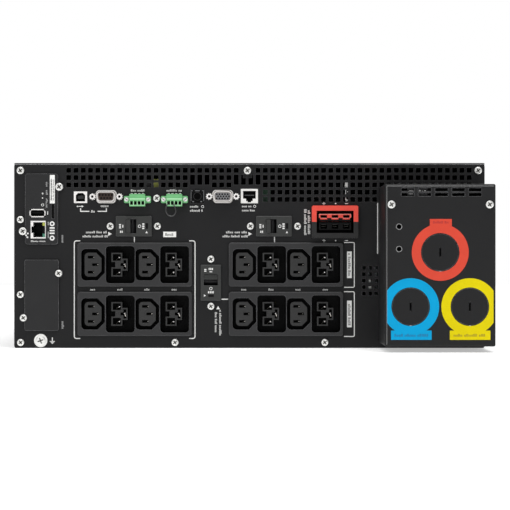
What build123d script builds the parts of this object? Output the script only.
"""A 4U rack-mount uninterruptible power supply: chassis, rear outlets, breakers and ports, the mains wiring
box, fans and power electronics, two sliding battery trays and the front fascias.

Units are millimetres. +Z is up, -Y is the rear with the outlets, +Y is the front with the display.
The origin is the centre of the whole unit's base. Left and right are as seen from the front.
"""

import os
from math import radians, tan

from build123d import *

# ---------------------------------------------------------------- driving dimensions
WIDTH = 440.0  # chassis, without rack ears
HEIGHT = 173.0  # 4U less the usual clearance
SHEET = 1.5  # chassis sheet metal
GAP = 0.2  # play between sheets that lie side by side
CHASSIS_LENGTH = 660.0
BOX_DEPTH = 80.0  # wiring box, out from the rear panel
BEZEL_DEPTH = 38.0
SCREW_HEAD = 2.2
RACK_WIDTH = 482.6  # 19 inch
RACK_PITCH_X = 465.1
RACK_PITCH_Z = 101.6

TOTAL = SCREW_HEAD + BOX_DEPTH + CHASSIS_LENGTH + BEZEL_DEPTH
REAR = -TOTAL / 2 + SCREW_HEAD + BOX_DEPTH  # outer face of the rear panel
FRONT = REAR + CHASSIS_LENGTH  # outer face of the front frame
BEZEL_FACE = FRONT + BEZEL_DEPTH
SIDE = WIDTH / 2
MIDDLE = (REAR + FRONT) / 2
TOP_PLATE = HEIGHT - SHEET  # underside of the top cover's plate
PANEL_TOP = TOP_PLATE - GAP
INSIDE = REAR + SHEET  # inner face of the rear panel

CLEARANCE = 1.85  # radius of a clearance hole
SHANK = 1.5  # radius of a screw's shank
PAN_HEAD = 3.3  # radius of a screw's head

# ---------------------------------------------------------------- rear panel layout, (x, z)
VENT_PITCH = 6.81
VENT_HOLE = 4.6
VENT_ORIGIN = (-169.0, 166.1)  # first column, top row
VENT_COLUMNS = 56
UPPER_ROWS = 3
LOW_COLUMNS = range(27, 43)
LOW_ROWS = (3, 4)
TALL_COLUMNS = (17, 18, 19, 23, 24, 25, 26)  # two rows joined into one slot
SCREW_COLUMNS = (24, 25)  # left out of the top row, for the top centre screw
TALL_SLOT = (4.6, 9.4)
TALL_SLOT_Z = 157.3
SMALL_VENT = 3.5
SMALL_VENT_CENTRE = (112.8, 62.9)
SMALL_VENT_PITCH = (5.8, 6.0)

PANEL_SCREWS = [
    (-214.0, 120.0), (-214.0, 49.9), (-213.8, 5.2), (-86.7, 139.9), (-69.5, 5.2), (70.5, 5.2),
]  # fmt: skip
TOP_SCREWS = [(-214.0, 165.9), (-1.8, 165.8), (213.8, 165.8)]
GROUND_SCREW = (-195.1, 6.9)

STRIP_SIZE = (107.2, 41.4)
STRIP_CENTRES = {1: (-107.1, 77.9), 2: (34.2, 77.9), 3: (-107.1, 31.9), 4: (34.2, 31.9)}
STRIP_CUTOUT = (105.4, 38.8)
STRIP_BODY = (105.0, 38.4)
STRIP_PROUD = 3.0
STRIP_BACK = 27.0
SOCKET_DEPTH = 19.0
CORE_SET_BACK = 0.6
C13_OFFSETS = (-38.9, 11.8)
C19_OFFSETS = (-13.4, 37.3)
C13_CAVITY = (22.2, 29.4)
C13_CORE = (15.7, 22.4)
C19_CAVITY = (27.0, 34.8)
C19_TUBE = (10.2, 8.6)
C19_TUBE_OFFSET = (-3.3, 6.8)

BREAKERS = {1: (-108.0, 113.8), 2: (23.0, 113.8), 3: (-36.0, 61.0)}
UPRIGHT = 3  # the breaker that stands on end
BREAKER_FRAME = (33.6, 19.2)
BREAKER_BODY = (30.0, 17.2)
BREAKER_PROUD = 2.2
BREAKER_BACK = 40.0
BREAKER_SCREW_PITCH = 44.1
ROCKER_SHIFT = 2.6  # window off the breaker's centre, towards the "on" end
ROCKER_WINDOW = (10.2, 13.2)
ROCKER_PIVOT = 6.6  # in from the panel's outer face
ROCKER_HUB = 4.6
ROCKER_REACH = 10.6
ROCKER_LEAN = 14.0  # degrees either side of straight out
ROCKER_PIN = 1.0

PORT_BACK = 17.0  # from the panel's outer face to the communication board
USB_PORT = (-157.9, 140.9)
SERIAL_PORT = (-133.9, 141.4)
PARALLEL_PORT = (-24.9, 141.6)
STANDOFF_OFFSET = 12.6
RELAY_PLUG = (-104.5, 138.7)
REMOTE_PLUG = (-70.0, 138.7)
POLE_PITCH = 3.5
BYPASS_SENSE = (-48.6, 141.8)
BATTERY_SENSE = (0.0, 142.0)
BATTERY_SOCKET = (79.9, 117.8)
SOCKET_FRAME = (43.2, 30.4)
SOCKET_BODY = (37.0, 24.0)
SOCKET_CAVITY = (34.4, 20.8)
SOCKET_PITCH = 10.5
POLE_HEIGHT = 4.05  # of each row of poles, from the socket's middle

CARD = (-194.2, 129.9)
CARD_SIZE = (30.8, 66.2)
CARD_SCREWS = [(-177.6, 150.6), (-211.6, 109.1)]
CARD_JACK = (-197.3, 110.6)
CARD_USB = (-197.9, 126.0)
CARD_SLOT = (-183.5, 127.6)
CARD_LENGTH = 118.0
COVER = (-194.1, 49.3)
COVER_SIZE = (32.0, 66.3)
COVER_SCREWS = [(-178.1, 69.8), (-211.0, 28.2)]
CARD_OPENING = (26.4, 61.0)

BOX_LEFT, BOX_RIGHT, BOX_BOTTOM, BOX_TOP = 121.0, 219.9, 5.2, 150.3
BOX_SHEET = 1.2
BOX_X, BOX_Z = (BOX_LEFT + BOX_RIGHT) / 2, (BOX_BOTTOM + BOX_TOP) / 2
BOX_FACE = REAR - BOX_DEPTH
BOX_SCREWS = [(126.9, 131.9), (214.4, 131.9)]
KNOCKOUTS = {"red": (170.4, 89.3), "blue": (144.0, 40.8), "yellow": (196.8, 40.8)}
RING_OUTER, RING_INNER = 25.4, 17.2
LABEL = 0.2  # sticker thickness
TERMINALS_Z = 62.0
TERMINAL_COUNT = 7
TERMINAL_PITCH = 12.0
TERMINAL_OPENING = (74.0, 26.0)

# ---------------------------------------------------------------- inside and front
TRAY_INNER, TRAY_OUTER = 25.4, 218.1  # sides of a battery tray, out from the middle
TRAY_X = (TRAY_INNER + TRAY_OUTER) / 2
TRAY_WIDTH = TRAY_OUTER - TRAY_INNER
TRAY_LENGTH = 345.0
TRAY_SHEET = 1.2
TRAY_FLOOR = 2.0
TRAY_TOP = 163.0
BATTERY = (94.6, 64.6, 151.0)
BATTERY_PITCH = (95.0, 65.0)
FAN_WALL = -30.0
FAN_SIZE = 120.0
FAN_DEPTH = 38.0
FAN_BORE = 57.5
FAN_HUB = 21.0
BLADES = 7
FANS = {1: (-70.0, 86.5), 2: (70.0, 86.5)}
BOARD = (370.0, 170.0)
BOARD_CENTRE = (20.0, -165.0)
BOARD_Z = 20.0
COLUMN_HALF = 24.3  # control panel, either side of the middle
FASCIA_INNER, FASCIA_OUTER = 25.0, 219.5
FASCIA_BOTTOM, FASCIA_TOP = 1.5, 171.5
FASCIA_WALL = 2.5
STUD_OFFSETS = (150.0, 130.0)
DISPLAY_Z = 118.0
DISPLAY_WINDOW = (34.0, 50.0)
BUTTONS = {"back": 68.0, "scroll": 52.0, "enter": 36.0}
BUTTON_RADIUS = 5.5

# ---------------------------------------------------------------- helpers
INWARD = (Align.CENTER, Align.CENTER, Align.MAX)
BOTTOM = (Align.CENTER, Align.MIN)


def facing_rear(y):
    """The plane at y that looks out of the rear: local x is X, local y is Z and its normal is -Y."""
    return Plane.XZ.offset(-y)


def save(piece, name, *inserts):
    """Names a finished piece and writes it as its own STEP file, with any insert as a solid of its own."""
    shape = piece.part
    if inserts:
        shape = Compound([solid for built in (piece, *inserts) for solid in built.part.solids()])
    shape.label = name
    export_step(shape, f"parts/{name}.step")


def vent_points():
    """Centres of the square holes, and of the tall slots that take the place of two rows of them."""
    holes, tall = [], []
    for column in range(VENT_COLUMNS):
        x = VENT_ORIGIN[0] + VENT_PITCH * column
        rows = [0] if column in TALL_COLUMNS else list(range(UPPER_ROWS))
        rows += [row for row in LOW_ROWS if column in LOW_COLUMNS]
        rows = [row for row in rows if not (row == 0 and column in SCREW_COLUMNS)]
        holes += [(x, VENT_ORIGIN[1] - VENT_PITCH * row) for row in rows]
        if column in TALL_COLUMNS:
            tall.append((x, TALL_SLOT_Z))
    return holes, tall


def d_outline(width, height, corner):
    """The outline of a D-shaped connector, wide side up."""
    lean = 0.09 * height
    top, low = width / 2, width / 2 - lean
    with BuildSketch(mode=Mode.PRIVATE) as outline:
        with BuildLine():
            Polyline((-top, height / 2), (-low, -height / 2), (low, -height / 2), (top, height / 2), close=True)
        make_face()
        fillet(outline.vertices(), corner)
    return outline.sketch


def c13_outline(width, height, cut, corner):
    """A C13 outlet on its side: two cut corners to the right and two rounded ones to the left."""
    x, z = width / 2, height / 2
    with BuildSketch(mode=Mode.PRIVATE) as outline:
        with BuildLine():
            Polyline((-x, -z), (x - cut, -z), (x, cut - z), (x, z - cut), (x - cut, z), (-x, z), close=True)
        make_face()
        fillet(outline.vertices().sort_by(Axis.X)[:2], corner)
    return outline.sketch


def tabbed_plate(size, corner, centre, screws):
    """A cover plate with a round tab under each of its two edge screws."""
    with BuildSketch(mode=Mode.PRIVATE) as outline:
        with Locations(centre):
            RectangleRounded(*size, corner)
        with Locations(*screws):
            Circle(PAN_HEAD + 0.6)
            Circle(CLEARANCE, mode=Mode.SUBTRACT)
    return outline.sketch


def pan_screws(groups, face, length):
    """Cross-recessed screws that go in from the rear. Each group is a head radius and its points."""
    with BuildPart() as screws:
        for radius, points in groups:
            with BuildSketch(facing_rear(face)):
                with Locations(*points):
                    Circle(radius)
            extrude(amount=SCREW_HEAD)
        fillet(screws.edges().filter_by(GeomType.CIRCLE).group_by(Axis.Y)[0], 0.9)
        for radius, points in groups:
            with BuildSketch(facing_rear(face - SCREW_HEAD)):
                with Locations(*points):
                    Rectangle(radius * 1.25, 1.1, rotation=35)
                    Rectangle(radius * 1.25, 1.1, rotation=125)
                    Circle(radius * 0.3)
            extrude(amount=-1.3, mode=Mode.SUBTRACT)
            with BuildSketch(facing_rear(face)):
                with Locations(*points):
                    Circle(SHANK)
            extrude(amount=-length)
    return screws


os.makedirs("parts", exist_ok=True)

# ================================================================ chassis sheet metal
with BuildPart() as base_tray:
    with BuildSketch(facing_rear(FRONT - SHEET)):
        with Locations((0, 0)):
            Rectangle(WIDTH, PANEL_TOP, align=BOTTOM)
        with Locations((0, SHEET)):
            Rectangle(WIDTH - 2 * SHEET, HEIGHT, align=BOTTOM, mode=Mode.SUBTRACT)
    extrude(amount=CHASSIS_LENGTH - 2 * SHEET)
    fillet(base_tray.edges().filter_by(Axis.Y).group_by(Axis.Z)[0], 1.4)
    with BuildSketch(facing_rear(INSIDE)):  # flanges behind the rear panel, for its screws
        with Locations((-SIDE + SHEET, SHEET)):
            Rectangle(10.5, 144, align=(Align.MIN, Align.MIN))
        with Locations((SIDE - SHEET, SHEET)):
            Rectangle(10.5, 144, align=(Align.MAX, Align.MIN))
        with Locations((0, SHEET)):
            Rectangle(WIDTH - 2 * SHEET, 9.0, align=BOTTOM)
        with Locations(*[p for p in PANEL_SCREWS if p[1] < 130], CARD_SCREWS[1], COVER_SCREWS[1]):
            Circle(CLEARANCE, mode=Mode.SUBTRACT)
        with Locations(GROUND_SCREW):
            Circle(2.4, mode=Mode.SUBTRACT)
    extrude(amount=-SHEET)
    for side in (-1, 1):  # rack-ear screw holes
        with BuildSketch(Plane.YZ.offset(side * SIDE)):
            with Locations((FRONT - 35, HEIGHT / 2)):
                with GridLocations(30, 110, 2, 2):
                    Circle(CLEARANCE)
        extrude(amount=-side * SHEET, mode=Mode.SUBTRACT)
save(base_tray, "base_tray")

with BuildPart() as top_cover:
    with BuildSketch(Plane.XY.offset(TOP_PLATE)):
        with Locations((0, MIDDLE)):
            Rectangle(WIDTH, CHASSIS_LENGTH)
    extrude(amount=SHEET)
    fillet(top_cover.edges().group_by(Axis.Z)[-1], 1.0)
    for side in (-1, 1):  # flanges that drop inside the side walls
        with Locations((side * (SIDE - SHEET - GAP - SHEET / 2), MIDDLE, TOP_PLATE)):
            Box(SHEET, CHASSIS_LENGTH - 60, 11, align=INWARD)
    with BuildSketch(facing_rear(INSIDE)):  # tabs behind the rear panel
        with Locations(*[(x, TOP_PLATE) for x, z in TOP_SCREWS]):
            Rectangle(8.6, 12.5, align=(Align.CENTER, Align.MAX))
        with Locations(*TOP_SCREWS):
            Circle(CLEARANCE, mode=Mode.SUBTRACT)
    extrude(amount=-SHEET)
save(top_cover, "top_cover")

breaker_screws = []
for number, (x, z) in BREAKERS.items():
    for shift in (-BREAKER_SCREW_PITCH / 2, BREAKER_SCREW_PITCH / 2):
        breaker_screws.append((x, z + shift) if number == UPRIGHT else (x + shift, z))
square_vents, tall_vents = vent_points()

with BuildPart() as rear_panel:
    with BuildSketch(facing_rear(REAR)) as panel_face:
        Rectangle(WIDTH, PANEL_TOP, align=BOTTOM)
        fillet(panel_face.vertices().group_by(Axis.Z)[0], 2.0)
        with Locations(*square_vents):
            Rectangle(VENT_HOLE, VENT_HOLE, mode=Mode.SUBTRACT)
        with Locations(*tall_vents):
            Rectangle(*TALL_SLOT, mode=Mode.SUBTRACT)
        with Locations(SMALL_VENT_CENTRE):
            with GridLocations(*SMALL_VENT_PITCH, 3, 5):
                Rectangle(SMALL_VENT, SMALL_VENT, mode=Mode.SUBTRACT)
        with Locations(*STRIP_CENTRES.values()):
            Rectangle(*STRIP_CUTOUT, mode=Mode.SUBTRACT)
        for number, centre in BREAKERS.items():
            with Locations(centre):
                Rectangle(30.4, 17.6, rotation=90 if number == UPRIGHT else 0, mode=Mode.SUBTRACT)
        with Locations(USB_PORT):
            Rectangle(12.8, 11.2, mode=Mode.SUBTRACT)
        for x, z in (SERIAL_PORT, PARALLEL_PORT):
            add(d_outline(20.2, 12.6, 3.6).moved(Location((x, z))), mode=Mode.SUBTRACT)
            with Locations((x - STANDOFF_OFFSET, z), (x + STANDOFF_OFFSET, z)):
                Circle(1.5, mode=Mode.SUBTRACT)
        for x, z in (RELAY_PLUG, REMOTE_PLUG):
            with Locations((x, z)):
                Rectangle(15.8, 8.2, mode=Mode.SUBTRACT)
            with Locations((x - 10.2, z), (x + 10.2, z)):
                Circle(1.5, mode=Mode.SUBTRACT)
        with Locations(BYPASS_SENSE):
            Rectangle(13.0, 13.0, mode=Mode.SUBTRACT)
        with Locations(BATTERY_SENSE):
            Rectangle(16.4, 13.8, mode=Mode.SUBTRACT)
        with Locations(BATTERY_SOCKET):
            Rectangle(SOCKET_BODY[0] + 0.4, SOCKET_BODY[1] + 0.4, mode=Mode.SUBTRACT)
        with Locations(CARD, COVER):
            Rectangle(*CARD_OPENING, mode=Mode.SUBTRACT)
        with Locations(*PANEL_SCREWS, *TOP_SCREWS, *CARD_SCREWS, *COVER_SCREWS, *breaker_screws):
            Circle(CLEARANCE, mode=Mode.SUBTRACT)
        with Locations(*BOX_SCREWS):  # where the wiring box's posts are riveted in
            Circle(1.2, mode=Mode.SUBTRACT)
        with Locations(GROUND_SCREW):
            Circle(2.2, mode=Mode.SUBTRACT)
        with Locations((BOX_X, TERMINALS_Z)):
            Rectangle(*TERMINAL_OPENING, mode=Mode.SUBTRACT)
    extrude(amount=-SHEET)
save(rear_panel, "rear_panel")

with BuildPart() as front_frame:
    with BuildSketch(facing_rear(FRONT)):
        Rectangle(WIDTH, PANEL_TOP, align=BOTTOM)
        with Locations((-TRAY_X, 1.6), (TRAY_X, 1.6)):
            Rectangle(TRAY_WIDTH + 0.6, TRAY_TOP - 1.2, align=BOTTOM, mode=Mode.SUBTRACT)
        with Locations((0, DISPLAY_Z), (0, 52)):
            Rectangle(30, 40, mode=Mode.SUBTRACT)
    extrude(amount=SHEET)
save(front_frame, "front_frame")

with BuildPart() as fan_wall:
    with BuildSketch(facing_rear(FAN_WALL)):
        with Locations((0, SHEET + GAP)):
            Rectangle(WIDTH - 2 * SHEET - 2 * GAP, 158, align=BOTTOM)
        with Locations(*FANS.values()):
            Circle(FAN_BORE, mode=Mode.SUBTRACT)
            with GridLocations(105, 105, 2, 2):
                Circle(2.2, mode=Mode.SUBTRACT)
        with Locations((-175, 40), (175, 40)):  # battery cable pass-throughs
            SlotOverall(60, 24, mode=Mode.SUBTRACT)
    extrude(amount=-SHEET)
save(fan_wall, "fan_wall")

EAR_SHEET = 2.5
EAR_HEIGHT = 165.0
for name, side in (("rack_ear_left", 1), ("rack_ear_right", -1)):
    with BuildPart() as ear:
        with BuildSketch(facing_rear(FRONT)):
            with Locations((side * (SIDE + RACK_WIDTH / 2) / 2, HEIGHT / 2)):
                Rectangle(RACK_WIDTH / 2 - SIDE, EAR_HEIGHT)
            with Locations((side * RACK_PITCH_X / 2, HEIGHT / 2)):
                with GridLocations(1, RACK_PITCH_Z, 1, 2):
                    SlotOverall(10.3, 6.8, mode=Mode.SUBTRACT)
        extrude(amount=EAR_SHEET)
        fillet(ear.edges().filter_by(Axis.Y).group_by(Axis.X)[-1 if side > 0 else 0], 3.0)
        with BuildSketch(Plane.YZ.offset(side * SIDE)):
            with Locations((FRONT - 30, HEIGHT / 2)):
                Rectangle(60, EAR_HEIGHT)
            with Locations((FRONT - 35, HEIGHT / 2)):
                with GridLocations(30, 110, 2, 2):
                    Circle(CLEARANCE, mode=Mode.SUBTRACT)
        extrude(amount=side * EAR_SHEET)
    save(ear, name)

with BuildPart() as ear_screws:
    for side in (-1, 1):
        seat = Plane(
            origin=(side * (SIDE + EAR_SHEET), FRONT - 35, HEIGHT / 2), x_dir=(0, 1, 0), z_dir=(side, 0, 0)
        )
        with BuildSketch(seat):
            with GridLocations(30, 110, 2, 2):
                Circle(PAN_HEAD)
        extrude(amount=1.8)
        with BuildSketch(seat):
            with GridLocations(30, 110, 2, 2):
                Circle(SHANK)
        extrude(amount=-(EAR_SHEET + SHEET - 0.1))
save(ear_screws, "ear_screws")

save(pan_screws([(PAN_HEAD, PANEL_SCREWS + breaker_screws), (PAN_HEAD + 0.2, TOP_SCREWS)], REAR, 5.0),
     "panel_screws")

with BuildPart() as ground_screw:
    with BuildSketch(facing_rear(REAR)):
        with Locations(GROUND_SCREW):
            Circle(6.2)
    extrude(amount=0.7)
    with BuildSketch(facing_rear(REAR - 0.7)):
        with Locations(GROUND_SCREW):
            Circle(4.4)
    extrude(amount=2.0)
    fillet(ground_screw.edges().filter_by(GeomType.CIRCLE).group_by(Axis.Y)[0], 0.9)
    with BuildSketch(facing_rear(REAR - 2.7)):
        with Locations(GROUND_SCREW):
            Rectangle(5.6, 1.1, rotation=20)
            Rectangle(5.6, 1.1, rotation=110)
    extrude(amount=-1.3, mode=Mode.SUBTRACT)
    with BuildSketch(facing_rear(REAR)):
        with Locations(GROUND_SCREW):
            Circle(2.0)
    extrude(amount=-7)
save(ground_screw, "ground_screw")

# ================================================================ outlets and breakers
for number, (x, z) in STRIP_CENTRES.items():
    c13_centres = [(x + shift, z) for shift in C13_OFFSETS]
    c19_centres = [(x + shift, z) for shift in C19_OFFSETS]
    tube_x, tube_z = C19_TUBE
    tube_dx, tube_dz = C19_TUBE_OFFSET
    mouth = REAR - STRIP_PROUD
    floor = mouth + SOCKET_DEPTH
    with BuildPart() as housing:  # the moulding that shows, open at the back
        with BuildSketch(facing_rear(REAR)):
            with Locations((x, z)):
                RectangleRounded(*STRIP_SIZE, 2.6)
        extrude(amount=STRIP_PROUD)
        chamfer(housing.faces().sort_by(Axis.Y)[0].edges(), 0.7)
        with BuildSketch(facing_rear(REAR)):
            with Locations((x, z)):
                Rectangle(*STRIP_BODY)
        extrude(amount=REAR - floor)
        with BuildSketch(facing_rear(mouth)):
            for centre in c13_centres:
                add(c13_outline(*C13_CAVITY, 7.0, 4.2).moved(Location(centre)))
            with Locations(*c19_centres):
                RectangleRounded(*C19_CAVITY, 3.4)
        extrude(amount=-SOCKET_DEPTH, mode=Mode.SUBTRACT)
    with BuildPart() as insert:  # the back, with a core for each outlet
        with BuildSketch(facing_rear(floor)):
            with Locations((x, z)):
                Rectangle(*STRIP_BODY)
        extrude(amount=floor - REAR - STRIP_BACK)
        with BuildSketch(facing_rear(floor)):
            for centre in c13_centres:
                add(c13_outline(*C13_CORE, 5.0, 3.6).moved(Location(centre)))
            for cx, cz in c19_centres:
                with Locations((cx + tube_dx, cz + tube_dz), (cx + tube_dx, cz - tube_dz)):
                    Rectangle(tube_x, tube_z)
                with Locations((cx - 1.0, cz)):
                    Rectangle(7.6, 6.0)
                with Locations((cx + 4.2, cz)):
                    Rectangle(5.2, 11.2)
        extrude(amount=SOCKET_DEPTH - CORE_SET_BACK)
        with BuildSketch(facing_rear(mouth + CORE_SET_BACK)):
            with Locations(*c13_centres):
                with Locations((-2.0, 7.0), (-2.0, -7.0), (2.1, 0)):
                    Rectangle(5.8, 2.5)
            for cx, cz in c19_centres:
                with Locations((cx + tube_dx, cz + tube_dz), (cx + tube_dx, cz - tube_dz)):
                    Rectangle(tube_x - 2.8, tube_z - 2.4)
                with Locations((cx + 2.2, cz)):
                    Rectangle(4.0, 2.8)
                with Locations((cx + 4.2, cz)):
                    Rectangle(2.6, 8.6)
        extrude(amount=-14, mode=Mode.SUBTRACT)
    save(housing, f"outlet_strip_{number}", insert)


def breaker_plane(number, depth=0.0):
    """Looks out of the rear at a breaker's centre, depth in from the panel, with local -x towards "on"."""
    x, z = BREAKERS[number]
    along = (0, 0, -1) if number == UPRIGHT else (1, 0, 0)
    return Plane(origin=(x, REAR + depth, z), x_dir=along, z_dir=(0, -1, 0))


for number in BREAKERS:
    face = breaker_plane(number)
    with BuildPart() as breaker:
        with BuildSketch(face):
            RectangleRounded(*BREAKER_FRAME, 1.0)
        extrude(amount=BREAKER_PROUD)
        chamfer(breaker.faces().sort_by(Axis.Y)[0].edges(), 0.5)
        with BuildSketch(face):
            Rectangle(*BREAKER_BODY)
        extrude(amount=-BREAKER_BACK)
        with BuildSketch(breaker_plane(number, -BREAKER_PROUD)):
            with Locations((-ROCKER_SHIFT, 0)):
                Rectangle(*ROCKER_WINDOW)
        extrude(amount=-14.6, mode=Mode.SUBTRACT)
        pivot = face.offset(-ROCKER_PIVOT)
        with BuildSketch(Plane(origin=pivot.origin, x_dir=pivot.x_dir, z_dir=pivot.y_dir)):
            with Locations((-ROCKER_SHIFT, 0)):
                Circle(ROCKER_PIN + 0.15)
        extrude(amount=15.4 / 2, both=True, mode=Mode.SUBTRACT)
    save(breaker, f"breaker_{number}")

    # The rocker's profile lies across its axle. Local x points away from "on" and local y into the case.
    section = Plane(origin=pivot.origin - pivot.x_dir * ROCKER_SHIFT, x_dir=pivot.x_dir, z_dir=pivot.y_dir)
    with BuildPart() as rocker:
        with BuildSketch(section):
            Circle(ROCKER_HUB)
            Rectangle(4.2, ROCKER_REACH, rotation=-ROCKER_LEAN, align=(Align.CENTER, Align.MAX))
        extrude(amount=12.6 / 2, both=True)
        tip = rocker.edges().filter_by(lambda edge: edge.length > 12).group_by(Axis.Y)[0]
        fillet(tip, 0.6)
        with BuildSketch(section):
            Circle(ROCKER_PIN)
        extrude(amount=15.0 / 2, both=True)
    save(rocker, f"rocker_{number}")

# ================================================================ communication ports
port_face = facing_rear(REAR)
port_foot = REAR + PORT_BACK

with BuildPart() as usb_port:
    with BuildSketch(facing_rear(REAR - 0.5)):
        with Locations(USB_PORT):
            Rectangle(12.4, 10.8)
    extrude(amount=-(PORT_BACK + 0.5))
    with BuildSketch(facing_rear(REAR - 0.5)):
        with Locations(USB_PORT):
            opening = Rectangle(8.6, 7.8)
        chamfer(opening.vertices().group_by(Axis.Z)[-1], 2.0)
    extrude(amount=-11, mode=Mode.SUBTRACT)
    with BuildSketch(facing_rear(REAR + 10.5)):
        with Locations(USB_PORT):
            Rectangle(5.6, 3.2)
    extrude(amount=9.5)
save(usb_port, "usb_port")

for name, (x, z) in (("serial_port", SERIAL_PORT), ("parallel_port", PARALLEL_PORT)):
    with BuildPart() as port:
        with BuildSketch(facing_rear(INSIDE)):  # flange behind the panel, with the two standoffs
            with Locations((x, z)):
                RectangleRounded(30.8, 12.4, 1.5)
        extrude(amount=-1.0)
        with BuildSketch(facing_rear(INSIDE + 1.0)):
            add(d_outline(19.8, 12.2, 3.4).moved(Location((x, z))))
        extrude(amount=3.3)
        with BuildSketch(facing_rear(INSIDE + 1.0)):
            add(d_outline(17.2, 9.2, 3.0).moved(Location((x, z))))
        extrude(amount=8.0)
        with BuildSketch(facing_rear(INSIDE + 1.0 - 8.0)):
            add(d_outline(16.0, 8.0, 2.6).moved(Location((x, z))))
        extrude(amount=-1.2, mode=Mode.SUBTRACT)
        with BuildSketch(facing_rear(INSIDE + 1.0)):
            with Locations((x, z)):
                Rectangle(19, 11)
        extrude(amount=-(PORT_BACK - SHEET - 1.0))
        for side in (-1, 1):
            with BuildSketch(facing_rear(INSIDE)):
                with Locations((x + side * STANDOFF_OFFSET, z)):
                    Circle(1.4)
            extrude(amount=SHEET)
            with BuildSketch(port_face):
                with Locations((x + side * STANDOFF_OFFSET, z)):
                    RegularPolygon(2.7, 6, rotation=30)
            extrude(amount=5.0)
            with BuildSketch(facing_rear(REAR - 5.0)):
                with Locations((x + side * STANDOFF_OFFSET, z)):
                    Circle(1.2)
            extrude(amount=-5.0, mode=Mode.SUBTRACT)
    save(port, name)

with BuildPart() as bypass_sense_port:
    with BuildSketch(facing_rear(REAR - 1.0)):
        with Locations(BYPASS_SENSE):
            RectangleRounded(12.6, 12.6, 0.8)
    extrude(amount=-(PORT_BACK + 1.0))
    with BuildSketch(facing_rear(REAR - 1.0)):
        with Locations(BYPASS_SENSE):
            RegularPolygon(5.2, 8, rotation=22.5)
    extrude(amount=-9, mode=Mode.SUBTRACT)
save(bypass_sense_port, "bypass_sense_port")

with BuildPart() as battery_sense_port:
    with BuildSketch(facing_rear(REAR - 0.6)):
        with Locations(BATTERY_SENSE):
            RectangleRounded(16.0, 13.4, 0.6)
    extrude(amount=-(PORT_BACK + 0.6))
    with BuildSketch(facing_rear(REAR - 0.6)):
        with Locations((BATTERY_SENSE[0], BATTERY_SENSE[1] + 1.2)):
            Rectangle(11.8, 7.2)
        with Locations((BATTERY_SENSE[0], BATTERY_SENSE[1] - 3.2)):
            Rectangle(6.2, 3.0)
        with Locations((BATTERY_SENSE[0], BATTERY_SENSE[1] - 5.0)):
            Rectangle(3.2, 1.8)
    extrude(amount=-12, mode=Mode.SUBTRACT)
save(battery_sense_port, "battery_sense_port")

PLUG = (15.0, 7.4)
PLUG_FRONT = REAR - 7.0
with BuildPart() as plug_sockets:  # headers on the communication board that the two plugs push into
    with BuildSketch(facing_rear(INSIDE + 0.3)):
        with Locations(RELAY_PLUG, REMOTE_PLUG):
            Rectangle(18.4, 10.4)
            Rectangle(15.8, 8.2, mode=Mode.SUBTRACT)
    extrude(amount=-(PORT_BACK - SHEET - 2.3))
    with BuildSketch(facing_rear(port_foot - 2.0)):
        with Locations(RELAY_PLUG, REMOTE_PLUG):
            Rectangle(18.4, 10.4)
    extrude(amount=-2.0)
    for x, z in (RELAY_PLUG, REMOTE_PLUG):
        with Locations((x, port_foot - 2.0, z)):
            with GridLocations(POLE_PITCH, 1, 4, 1):
                Box(0.9, 3.5, 0.9, align=(Align.CENTER, Align.MAX, Align.CENTER))
save(plug_sockets, "plug_sockets")

for name, (x, z) in (("relay_plug", RELAY_PLUG), ("remote_plug", REMOTE_PLUG)):
    with BuildPart() as plug:
        with BuildSketch(facing_rear(REAR + 10.5)):
            with Locations((x, z)):
                Rectangle(*PLUG)
        extrude(amount=10.8)
        with BuildSketch(facing_rear(REAR - 0.3)):  # the part that shows, and the screw flanges
            with Locations((x, z - 0.7)):
                Rectangle(14.6, 11.4)
        extrude(amount=6.7)
        with BuildSketch(facing_rear(REAR - 0.3)):
            with Locations((x, z)):
                RectangleRounded(25.0, 6.6, 1.2)
        extrude(amount=3.4)
        with BuildSketch(facing_rear(PLUG_FRONT)):  # wire entries
            with Locations((x, z - 3.4)):
                with GridLocations(POLE_PITCH, 1, 4, 1):
                    Rectangle(2.6, 3.6)
        extrude(amount=-4.5, mode=Mode.SUBTRACT)
        with BuildSketch(Plane.XY.offset(z + 5.0)):  # clamp screws
            with Locations((x, PLUG_FRONT + 3.6)):
                with GridLocations(POLE_PITCH, 1, 4, 1):
                    Circle(1.25)
        extrude(amount=-1.4, mode=Mode.SUBTRACT)
        with BuildSketch(facing_rear(REAR + 10.5)):  # pin holes
            with Locations((x, z)):
                with GridLocations(POLE_PITCH, 1, 4, 1):
                    Rectangle(1.5, 1.5)
        extrude(amount=6.0, mode=Mode.SUBTRACT)
        with BuildSketch(facing_rear(REAR - 3.7)):  # flange screws
            with Locations((x - 10.2, z), (x + 10.2, z)):
                Circle(2.0)
        extrude(amount=0.9)
    save(plug, name)

WIRE = 1.2
wire_z = REMOTE_PLUG[1] - 2.6
first_pole, second_pole = REMOTE_PLUG[0] - 1.5 * POLE_PITCH, REMOTE_PLUG[0] - 0.5 * POLE_PITCH
wire_route = [
    (first_pole, PLUG_FRONT + 4.3, wire_z),
    (first_pole - 0.4, PLUG_FRONT - 0.6, wire_z - 0.5),
    (first_pole - 2.0, PLUG_FRONT - 3.9, wire_z - 4.0),
    (first_pole - 2.6, PLUG_FRONT - 4.4, wire_z - 9.0),
    (first_pole + 0.6, PLUG_FRONT - 4.0, wire_z - 13.2),
    (first_pole + 4.9, PLUG_FRONT - 4.2, wire_z - 13.0),
    (first_pole + 7.4, PLUG_FRONT - 4.8, wire_z - 9.0),
    (first_pole + 6.0, PLUG_FRONT - 4.2, wire_z - 4.2),
    (second_pole + 0.7, PLUG_FRONT - 0.8, wire_z - 0.6),
    (second_pole, PLUG_FRONT + 4.3, wire_z),
]


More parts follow.
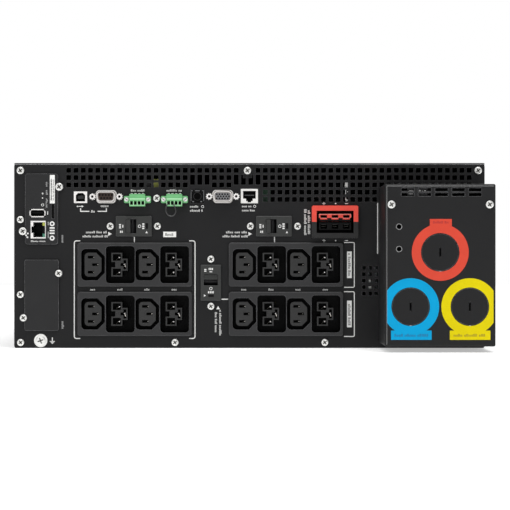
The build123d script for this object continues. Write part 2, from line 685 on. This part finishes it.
def bend_radii(points):
    """The radius of each tangent arc: 0.45 of its shorter run, over the tangent of half its turn."""
    radii = []
    for before, corner, after in zip(points, points[1:], points[2:]):
        run_in, run_out = Vector(corner) - Vector(before), Vector(after) - Vector(corner)
        half_turn = radians(run_in.get_angle(run_out)) / 2
        radii.append(0.45 * min(run_in.length, run_out.length) / tan(half_turn))
    return radii


radii = bend_radii(wire_route)
print("jumper wire bend radii", [round(radius, 1) for radius in radii])
with BuildPart() as jumper_wire:
    with BuildLine() as route:
        FilletPolyline(*wire_route, radius=radii)
    with BuildSketch(Plane(origin=route.line @ 0, z_dir=route.line % 0)):
        Circle(WIRE / 2)
    sweep(path=route.line)
print("jumper wire length", round(route.wire().length, 1), "volume", round(jumper_wire.part.volume, 1))
save(jumper_wire, "jumper_wire")

with BuildPart() as comm_board:
    with BuildSketch(facing_rear(port_foot)):
        with Locations((-75.5, 139.0)):
            Rectangle(191, 20)
    extrude(amount=-1.6)
    with BuildSketch(facing_rear(port_foot + 1.6)):
        with Locations((-150, 141), (-118, 142), (-60, 140), (-20, 141)):
            Rectangle(14, 14)
        with Locations((-90, 144), (-40, 138)):
            Rectangle(8, 10)
    extrude(amount=-2.4)
save(comm_board, "comm_board")

# ---------------------------------------------------------------- external battery socket
poles = [(BATTERY_SOCKET[0] + shift, BATTERY_SOCKET[1]) for shift in (-SOCKET_PITCH, 0, SOCKET_PITCH)]
for name, up in (("battery_socket_housing", -1), ("battery_socket_key", 1)):
    half = Align.MIN if up > 0 else Align.MAX
    with BuildPart() as socket:
        for size, near, far in ((SOCKET_FRAME, REAR - 6.0, REAR), (SOCKET_BODY, REAR, REAR + 32.0)):
            with BuildSketch(facing_rear(near)):
                with Locations(BATTERY_SOCKET):
                    Rectangle(size[0], size[1] / 2, align=(Align.CENTER, half))
            extrude(amount=near - far)
        with BuildSketch(facing_rear(REAR - 6.0)):
            with Locations(BATTERY_SOCKET):
                Rectangle(SOCKET_CAVITY[0], SOCKET_CAVITY[1] / 2, align=(Align.CENTER, half))
        extrude(amount=-35.0, mode=Mode.SUBTRACT)
        chamfer(socket.edges().filter_by(Axis.Y).group_by(Axis.Z)[-1 if up > 0 else 0], 1.0)
        with BuildSketch(facing_rear(REAR + 29.0)):  # a bar of three poles
            with Locations((BATTERY_SOCKET[0], BATTERY_SOCKET[1] + up * POLE_HEIGHT)):
                Rectangle(30.0, 6.9)
        extrude(amount=33.0)
        with BuildSketch(facing_rear(REAR - 4.0)):
            with Locations(*[(x, z + up * POLE_HEIGHT) for x, z in poles]):
                Rectangle(6.0, 4.6)
        extrude(amount=-24.0, mode=Mode.SUBTRACT)
    save(socket, name)

# ---------------------------------------------------------------- network card and the empty slot's cover
CARD_SPLIT = 0.3  # the card's plates stand just off the panel
card_face = REAR - CARD_SPLIT - SHEET
board_x = CARD[0] - 11.2  # component side of the card's board
slot_x = CARD_SLOT[0] + 0.8
with BuildPart() as network_faceplate:
    with BuildSketch(facing_rear(REAR - CARD_SPLIT)):
        add(tabbed_plate(CARD_SIZE, 2.4, CARD, CARD_SCREWS))
        with Locations(CARD_JACK):
            Rectangle(14.4, 16.8, mode=Mode.SUBTRACT)
        with Locations(CARD_USB):
            Rectangle(15.2, 8.0, mode=Mode.SUBTRACT)
        with Locations(CARD_SLOT):
            Rectangle(2.4, 13.4, mode=Mode.SUBTRACT)
    extrude(amount=SHEET)
    with Locations((board_x, REAR - CARD_SPLIT, CARD[1] + 26.0)):  # brackets that hold the board
        Box(4.0, 14.0, 8.0, align=(Align.MIN, Align.MIN, Align.CENTER))
    with Locations((board_x, REAR - CARD_SPLIT, CARD[1] - 28.6)):
        Box(4.0, 14.0, 1.8, align=(Align.MIN, Align.MIN, Align.CENTER))
save(network_faceplate, "network_faceplate")

with BuildPart() as network_board:
    with Locations((board_x, REAR + 0.6, CARD[1])):
        Box(1.6, CARD_LENGTH, 60.2, align=(Align.MAX, Align.MIN, Align.CENTER))
    with Locations((board_x, REAR + 0.6, CARD_JACK[1])):  # network jack and its foot
        Box(1.3, 21.0, 12.0, align=(Align.MIN, Align.MIN, Align.CENTER))
    with Locations((CARD_JACK[0], card_face - 0.2, CARD_JACK[1])):
        Box(14.0, 21.0, 16.4, align=(Align.CENTER, Align.MIN, Align.CENTER))
    with BuildSketch(facing_rear(card_face - 0.2)):
        with Locations((CARD_JACK[0] + 0.4, CARD_JACK[1])):
            Rectangle(8.4, 11.8)
        with Locations((CARD_JACK[0] - 5.0, CARD_JACK[1])):
            Rectangle(2.6, 6.0)
    extrude(amount=-13, mode=Mode.SUBTRACT)
    with Locations((board_x, REAR + 0.6, CARD_USB[1])):  # service port and its foot
        Box(1.0, 11.0, 6.0, align=(Align.MIN, Align.MIN, Align.CENTER))
    with BuildSketch(facing_rear(card_face - 0.2)) as shell:
        with Locations(CARD_USB):
            Rectangle(14.8, 7.6)
        chamfer(shell.vertices(), 2.0)
    extrude(amount=-14.0)
    with BuildSketch(facing_rear(card_face - 0.2)) as opening:
        with Locations(CARD_USB):
            Rectangle(13.0, 5.8)
        chamfer(opening.vertices(), 1.5)
    extrude(amount=-10, mode=Mode.SUBTRACT)
    with BuildSketch(facing_rear(REAR + 8.5)):
        with Locations((CARD_USB[0], CARD_USB[1] + 0.6)):
            Rectangle(11.6, 1.8)
    extrude(amount=8.5)
    with Locations((board_x, REAR + 50, CARD[1] + 6), (board_x, REAR + 85, CARD[1] - 10)):  # chips
        Box(2.4, 20, 20, align=(Align.MIN, Align.CENTER, Align.CENTER))
    with Locations((board_x, REAR + 60, CARD[1] - 20)):  # card slot's riser
        Box(slot_x - board_x, 10, 6, align=(Align.MIN, Align.CENTER, Align.CENTER))
    with Locations((slot_x, REAR + 1.0, CARD_SLOT[1])):
        Box(1.6, 64, 13.0, align=(Align.MAX, Align.MIN, Align.CENTER))
    with Locations((slot_x, REAR + 60, CARD[1] - 11)):
        Box(1.6, 10, 24, align=(Align.MAX, Align.CENTER, Align.CENTER))
save(network_board, "network_board")

save(pan_screws([(PAN_HEAD + 0.3, CARD_SCREWS)], card_face, 5.5), "network_screws")

with BuildPart() as slot_cover:
    with BuildSketch(facing_rear(REAR - CARD_SPLIT)):
        add(tabbed_plate(COVER_SIZE, 2.0, COVER, COVER_SCREWS))
    extrude(amount=SHEET)
save(slot_cover, "slot_cover")
save(pan_screws([(PAN_HEAD, COVER_SCREWS)], card_face, 5.5), "slot_cover_screws")

# ================================================================ mains wiring box
with BuildPart() as wiring_cover:
    with Locations((BOX_X, REAR - CARD_SPLIT, BOX_Z)):
        Box(BOX_RIGHT - BOX_LEFT, BOX_DEPTH - CARD_SPLIT, BOX_TOP - BOX_BOTTOM,
            align=(Align.CENTER, Align.MAX, Align.CENTER))
    fillet(wiring_cover.edges().filter_by(Axis.Y) + wiring_cover.faces().sort_by(Axis.Y)[0].edges(), 1.6)
    with Locations((BOX_X, REAR - CARD_SPLIT, BOX_Z)):
        Box(BOX_RIGHT - BOX_LEFT - 2 * BOX_SHEET, BOX_DEPTH - CARD_SPLIT - BOX_SHEET,
            BOX_TOP - BOX_BOTTOM - 2 * BOX_SHEET, align=(Align.CENTER, Align.MAX, Align.CENTER),
            mode=Mode.SUBTRACT)
    with BuildSketch(facing_rear(BOX_FACE)):
        with Locations((171.5, 143.0)):
            with GridLocations(15.0, 4.4, 5, 2):
                Rectangle(11.5, 2.9)
        with Locations(*BOX_SCREWS):
            Circle(CLEARANCE)
        with Locations((133.7, 112.2), (133.7, 92.2)):
            Circle(2.1)
        for centre in KNOCKOUTS.values():
            with Locations(centre):
                Circle(17.1)
                Circle(16.6, mode=Mode.SUBTRACT)
                with PolarLocations(16.8, 3, start_angle=30):
                    Rectangle(3.0, 3.0, mode=Mode.SUBTRACT)
                Rectangle(1.1, 7.8)
    extrude(amount=-BOX_SHEET - 0.5, mode=Mode.SUBTRACT)
save(wiring_cover, "wiring_cover")

with BuildPart() as ring_labels:
    tabs = {"red": (170.9, 111.0, 19.6, 16.0), "blue": (144.6, 15.4, 36.2, 8.3), "yellow": (197.0, 15.4, 36.2, 8.3)}
    with BuildSketch(facing_rear(BOX_FACE)):
        for colour, centre in KNOCKOUTS.items():
            x, z, width, height = tabs[colour]
            with Locations(centre):
                Circle(RING_OUTER)
            with Locations((x, z)):
                Rectangle(width, height)
        for centre in KNOCKOUTS.values():
            with Locations(centre):
                Circle(RING_INNER, mode=Mode.SUBTRACT)
        with Locations((BOX_X, BOX_Z)):
            Rectangle(BOX_RIGHT - BOX_LEFT - 4, BOX_TOP - BOX_BOTTOM - 4, mode=Mode.INTERSECT)
    extrude(amount=LABEL)
save(ring_labels, "ring_labels")
save(pan_screws([(PAN_HEAD + 0.2, BOX_SCREWS)], BOX_FACE, 7.0), "wiring_cover_screws")

with BuildPart() as wiring_posts:  # hexagonal posts that take the cover's two screws
    with BuildSketch(facing_rear(REAR)):
        with Locations(*BOX_SCREWS):
            RegularPolygon(4.2, 6)
    extrude(amount=BOX_DEPTH - BOX_SHEET - 0.3)
    with BuildSketch(facing_rear(BOX_FACE + BOX_SHEET + 0.3)):
        with Locations(*BOX_SCREWS):
            Circle(CLEARANCE)
    extrude(amount=-12.0, mode=Mode.SUBTRACT)
    with BuildSketch(facing_rear(REAR)):
        with Locations(*BOX_SCREWS):
            Circle(1.1)
    extrude(amount=-SHEET)
save(wiring_posts, "wiring_posts")

with BuildPart() as terminal_block:
    with Locations((BOX_X, REAR, TERMINALS_Z)):
        Box(88, 30, 34, align=(Align.CENTER, Align.MAX, Align.CENTER))
    with Locations((BOX_X, REAR - 30, TERMINALS_Z)):
        with GridLocations(TERMINAL_PITCH, 1, TERMINAL_COUNT, 1):
            Box(9.6, 14, 34, align=(Align.CENTER, Align.MIN, Align.CENTER), mode=Mode.SUBTRACT)
    with BuildSketch(facing_rear(REAR - 16)):
        with Locations((BOX_X, TERMINALS_Z)):
            with GridLocations(TERMINAL_PITCH, 1, TERMINAL_COUNT, 1):
                Circle(3.6)
    extrude(amount=2.6)
    with BuildSketch(facing_rear(REAR - 18.6)):
        with Locations((BOX_X, TERMINALS_Z)):
            with GridLocations(TERMINAL_PITCH, 1, TERMINAL_COUNT, 1):
                Rectangle(4.8, 1.0, rotation=20)
    extrude(amount=-1.2, mode=Mode.SUBTRACT)
    with Locations((BOX_X, REAR, TERMINALS_Z)):
        Box(TERMINAL_OPENING[0] - 0.4, 14, TERMINAL_OPENING[1] - 0.4, align=(Align.CENTER, Align.MIN, Align.CENTER))
save(terminal_block, "terminal_block")

# ================================================================ power electronics and fans
power_x, power_y = BOARD_CENTRE
board_top = BOARD_Z + 2.0
with BuildPart() as power_board:
    with Locations((power_x, power_y, SHEET)):  # the posts it stands on
        with GridLocations((BOARD[0] - 20) / 2, BOARD[1] - 20, 3, 2):
            Cylinder(4, BOARD_Z - SHEET, align=(Align.CENTER, Align.CENTER, Align.MIN))
    with Locations((power_x, power_y, BOARD_Z)):
        Box(*BOARD, 2.0, align=(Align.CENTER, Align.CENTER, Align.MIN))
    with Locations((power_x, power_y, board_top)):
        with GridLocations(100, 130, 2, 2):  # relays
            Box(18, 22, 14, align=(Align.CENTER, Align.CENTER, Align.MIN))
save(power_board, "power_board")

with BuildPart() as heatsinks:
    with Locations((power_x, power_y, board_top)):
        with GridLocations(100, 1, 3, 1):
            Box(56, 120, 84, align=(Align.CENTER, Align.CENTER, Align.MIN))
    with Locations((power_x, power_y, board_top + 8)):
        with GridLocations(100, 1, 3, 1):
            with GridLocations(7.0, 1, 7, 1):
                Box(4.8, 120, 80, align=(Align.CENTER, Align.CENTER, Align.MIN), mode=Mode.SUBTRACT)
save(heatsinks, "heatsinks")

with BuildPart() as bus_capacitors:
    with Locations((power_x, power_y, board_top)):
        with GridLocations(100, 40, 2, 2):
            Cylinder(16.5, 52, align=(Align.CENTER, Align.CENTER, Align.MIN))
    fillet(bus_capacitors.edges().filter_by(GeomType.CIRCLE).group_by(Axis.Z)[-1], 2.0)
save(bus_capacitors, "bus_capacitors")

with BuildPart() as inductors:
    with BuildSketch(Plane.XY.offset(board_top)):
        with Locations((power_x, power_y)):
            with GridLocations(308, 76, 2, 2):
                Circle(25)
                Circle(11, mode=Mode.SUBTRACT)
    extrude(amount=26)
    fillet(inductors.edges().filter_by(GeomType.CIRCLE), 4.0)
save(inductors, "inductors")

fan_back = FAN_WALL - FAN_DEPTH
with BuildPart() as fan_frames:
    with BuildSketch(facing_rear(FAN_WALL)):
        with Locations(*FANS.values()):
            RectangleRounded(FAN_SIZE, FAN_SIZE, 5)
            Circle(FAN_BORE, mode=Mode.SUBTRACT)
            with GridLocations(105, 105, 2, 2):
                Circle(2.2, mode=Mode.SUBTRACT)
    extrude(amount=FAN_DEPTH)
    with BuildSketch(facing_rear(fan_back)):  # motor seats and their struts
        with Locations(*FANS.values()):
            Circle(FAN_HUB)
            with PolarLocations(FAN_HUB + 19.0, 4, start_angle=45):
                Rectangle(44.0, 5.0)
        with Locations(*FANS.values()):
            Circle(3.2, mode=Mode.SUBTRACT)
    extrude(amount=-5)
save(fan_frames, "fan_frames")

for number, (x, z) in FANS.items():
    with BuildPart() as fan_rotor:
        with BuildSketch(facing_rear(FAN_WALL - 3.0)):
            with Locations((x, z)):
                Circle(FAN_HUB)
        extrude(amount=FAN_DEPTH - 9.0)
        middle = FAN_WALL - 3.0 - (FAN_DEPTH - 9.0) / 2
        for blade in range(BLADES):
            outward = Vector(1, 0, 0).rotate(Axis.Y, 360 / BLADES * blade)
            root = Plane(
                origin=Vector(x, middle, z) + outward * (FAN_HUB - 2.0),
                x_dir=outward.rotate(Axis.Y, 90), z_dir=outward,
            )  # fmt: skip
            with BuildSketch(root):
                Rectangle(27.0, 2.2, rotation=48)
            with BuildSketch(root.offset(FAN_BORE - FAN_HUB - 1.5)):
                Rectangle(31.0, 1.6, rotation=30)
            loft()
        with BuildSketch(facing_rear(FAN_WALL - 3.0)):
            with Locations((x, z)):
                Circle(2.5)
        extrude(amount=FAN_DEPTH - 5.5)
    save(fan_rotor, f"fan_rotor_{number}")

# ================================================================ battery trays
tray_front = FRONT  # outer face of a tray's front plate
tray_back = tray_front - TRAY_LENGTH
for name, side in (("left", 1), ("right", -1)):
    with BuildPart() as battery_tray:
        with Locations((side * TRAY_X, tray_front, TRAY_FLOOR)):
            Box(TRAY_WIDTH, TRAY_LENGTH, 60, align=(Align.CENTER, Align.MAX, Align.MIN))
        with Locations((side * TRAY_X, tray_front, TRAY_FLOOR + TRAY_SHEET)):
            Box(TRAY_WIDTH - 2 * TRAY_SHEET, TRAY_LENGTH - TRAY_SHEET, 60,
                align=(Align.CENTER, Align.MAX, Align.MIN), mode=Mode.SUBTRACT)
        with BuildSketch(facing_rear(tray_front)):
            with Locations((side * TRAY_X, TRAY_FLOOR)):
                Rectangle(TRAY_WIDTH, TRAY_TOP - TRAY_FLOOR - 0.6, align=BOTTOM)
            with Locations((side * TRAY_X, HEIGHT / 2)):
                with GridLocations(*STUD_OFFSETS, 2, 2):
                    Circle(3.6, mode=Mode.SUBTRACT)
                with GridLocations(34, 20, 4, 3):
                    SlotOverall(24, 5, mode=Mode.SUBTRACT)
        extrude(amount=TRAY_SHEET)
        with BuildSketch(facing_rear(tray_front)):  # folding pull handle's fixed bail
            with Locations((side * TRAY_X, 36)):
                Rectangle(84, 12)
        extrude(amount=-16)
        with BuildSketch(Plane.XY.offset(36)):
            with Locations((side * TRAY_X, tray_front)):
                Rectangle(68, 10, align=BOTTOM)
        extrude(amount=20, both=True, mode=Mode.SUBTRACT)
    save(battery_tray, f"battery_tray_{name}")

    with BuildPart() as batteries:
        centre = tray_front - TRAY_SHEET - 10.0 - 2.5 * BATTERY_PITCH[1]
        with Locations((side * TRAY_X, centre, TRAY_FLOOR + TRAY_SHEET)):
            with GridLocations(*BATTERY_PITCH, 2, 5):
                Box(*BATTERY[:2], BATTERY[2] - 6.0, align=(Align.CENTER, Align.CENTER, Align.MIN))
        fillet(batteries.edges().filter_by(Axis.Z), 2.0)
        with Locations((side * TRAY_X, centre, TRAY_FLOOR + TRAY_SHEET + BATTERY[2] - 6.0)):
            with GridLocations(*BATTERY_PITCH, 2, 5):
                with Locations((-36, -20, 0), (36, -20, 0)):  # terminals
                    Box(8, 6, 6, align=(Align.CENTER, Align.CENTER, Align.MIN))
    save(batteries, f"batteries_{name}")

    with BuildPart() as fascia:
        width = FASCIA_OUTER - FASCIA_INNER
        middle_x = side * (FASCIA_OUTER + FASCIA_INNER) / 2
        with Locations((middle_x, FRONT + 0.5, FASCIA_BOTTOM)):
            Box(width, BEZEL_DEPTH - 0.5, FASCIA_TOP - FASCIA_BOTTOM,
                align=(Align.CENTER, Align.MIN, Align.MIN))
        fillet(fascia.faces().sort_by(Axis.Y)[-1].edges(), 6.0)
        with Locations((middle_x, FRONT + 0.5, FASCIA_BOTTOM + FASCIA_WALL)):
            Box(width - 2 * FASCIA_WALL, BEZEL_DEPTH - 0.5 - 4.0, FASCIA_TOP - FASCIA_BOTTOM - 2 * FASCIA_WALL,
                align=(Align.CENTER, Align.MIN, Align.MIN), mode=Mode.SUBTRACT)
        with BuildSketch(facing_rear(BEZEL_FACE)):  # air slots
            with Locations((middle_x, HEIGHT / 2)):
                with GridLocations(85.0, 11.0, 2, 12):
                    SlotOverall(74.0, 5.5)
        extrude(amount=6.0, mode=Mode.SUBTRACT)
    with BuildPart() as studs:  # they snap into the tray's front plate
        with BuildSketch(facing_rear(BEZEL_FACE - 4.0)):
            with Locations((side * TRAY_X, HEIGHT / 2)):
                with GridLocations(*STUD_OFFSETS, 2, 2):
                    Circle(3.0)
        extrude(amount=BEZEL_DEPTH - 4.0 + 5.0)
    save(fascia, f"fascia_{name}", studs)

# ================================================================ control panel
with BuildPart() as control_panel:
    with Locations((0, FRONT, FASCIA_BOTTOM)):
        Box(2 * COLUMN_HALF, BEZEL_DEPTH, FASCIA_TOP - FASCIA_BOTTOM, align=(Align.CENTER, Align.MIN, Align.MIN))
    fillet(control_panel.faces().sort_by(Axis.Y)[-1].edges(), 3.0)
    with Locations((0, FRONT, FASCIA_BOTTOM + FASCIA_WALL)):
        Box(2 * (COLUMN_HALF - FASCIA_WALL), BEZEL_DEPTH - 3.0, FASCIA_TOP - FASCIA_BOTTOM - 2 * FASCIA_WALL,
            align=(Align.CENTER, Align.MIN, Align.MIN), mode=Mode.SUBTRACT)
    with BuildSketch(facing_rear(BEZEL_FACE)):
        with Locations((0, DISPLAY_Z)):
            Rectangle(*DISPLAY_WINDOW)
        with Locations(*[(0, z) for z in BUTTONS.values()]):
            Circle(BUTTON_RADIUS + 0.35)
    extrude(amount=4.0, mode=Mode.SUBTRACT)
save(control_panel, "control_panel")

with BuildPart() as display_module:
    with Locations((0, BEZEL_FACE - 3.0, DISPLAY_Z)):
        Box(42, 7, 60, align=(Align.CENTER, Align.MAX, Align.CENTER))
    with Locations((0, BEZEL_FACE - 3.0, DISPLAY_Z)):
        Box(DISPLAY_WINDOW[0] - 0.4, 2.0, DISPLAY_WINDOW[1] - 0.4, align=(Align.CENTER, Align.MIN, Align.CENTER))
    with Locations((0, BEZEL_FACE - 12.0, 52.0)):  # button board, joined by the module's back plate
        Box(30, 2.0, 60, align=(Align.CENTER, Align.MAX, Align.CENTER))
    with Locations((0, BEZEL_FACE - 10.0, 88.0)):
        Box(30, 4.0, 24, align=(Align.CENTER, Align.MAX, Align.CENTER))
save(display_module, "display_module")

for name, z in BUTTONS.items():
    with BuildPart() as button:
        with BuildSketch(facing_rear(BEZEL_FACE - 8.0)):
            with Locations((0, z)):
                Circle(BUTTON_RADIUS)
        extrude(amount=-8.0)
        fillet(button.edges().filter_by(GeomType.CIRCLE).group_by(Axis.Y)[-1], 0.8)
        with BuildSketch(facing_rear(BEZEL_FACE - 8.0)):  # collar that keeps it in
            with Locations((0, z)):
                Circle(BUTTON_RADIUS + 1.5)
        extrude(amount=-4.4)
    save(button, f"button_{name}")
